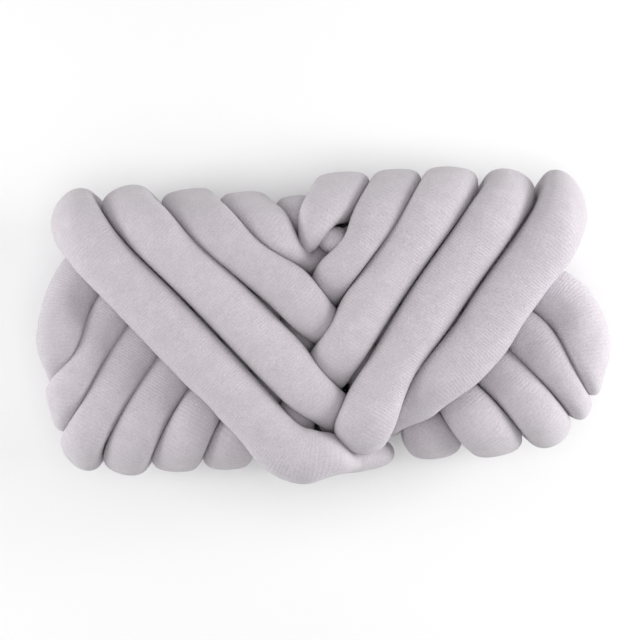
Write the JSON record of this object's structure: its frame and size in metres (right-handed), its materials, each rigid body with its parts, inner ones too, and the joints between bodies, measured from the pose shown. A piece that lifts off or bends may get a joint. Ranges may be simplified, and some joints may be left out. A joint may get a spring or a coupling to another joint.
{
  "type": "woven tube throw pillow",
  "caption": "Rectangular lumbar throw pillow woven from fat stuffed velour tubes, lying on its back.",
  "frame": {"origin": "middle of the pillow's footprint, on the surface that it lies on", "axes": "+X along the pillow's length, +Y towards its top edge, +Z out of the woven face"},
  "size_m": [0.5028, 0.2788, 0.1465],
  "materials": {
    "velour_cover": "short pile velour with fine cross ribs, matt with a soft sheen",
    "fibre_fill": "loose white polyester fibre",
    "end_seam": "sewn velour"
  },
  "bodies": {
    "root": {"left_1_cover": "velour_cover", "left_2_cover": "velour_cover", "left_3_cover": "velour_cover", "left_4_cover": "velour_cover", "left_5_cover": "velour_cover", "left_6_cover": "velour_cover", "left_7_cover": "velour_cover", "right_1_cover": "velour_cover", "right_2_cover": "velour_cover", "right_3_cover": "velour_cover", "right_4_cover": "velour_cover", "right_5_cover": "velour_cover", "right_6_cover": "velour_cover", "right_7_cover": "velour_cover", "right_8_cover": "velour_cover", "right_9_cover": "velour_cover", "left_1_fill": "fibre_fill", "left_2_fill": "fibre_fill", "left_3_fill": "fibre_fill", "left_4_fill": "fibre_fill", "left_5_fill": "fibre_fill", "left_6_fill": "fibre_fill", "left_7_fill": "fibre_fill", "right_1_fill": "fibre_fill", "right_2_fill": "fibre_fill", "right_3_fill": "fibre_fill", "right_4_fill": "fibre_fill", "right_5_fill": "fibre_fill", "right_6_fill": "fibre_fill", "right_7_fill": "fibre_fill", "right_8_fill": "fibre_fill", "right_9_fill": "fibre_fill", "left_1_end_seam": "end_seam", "left_2_end_seam": "end_seam", "left_3_end_seam": "end_seam", "left_4_end_seam": "end_seam", "left_5_end_seam": "end_seam", "left_6_end_seam": "end_seam", "left_7_end_seam": "end_seam", "right_1_end_seam": "end_seam", "right_2_end_seam": "end_seam", "right_3_end_seam": "end_seam", "right_4_end_seam": "end_seam", "right_5_end_seam": "end_seam", "right_6_end_seam": "end_seam", "right_7_end_seam": "end_seam", "right_8_end_seam": "end_seam", "right_9_end_seam": "end_seam"}
  },
  "joints": []
}
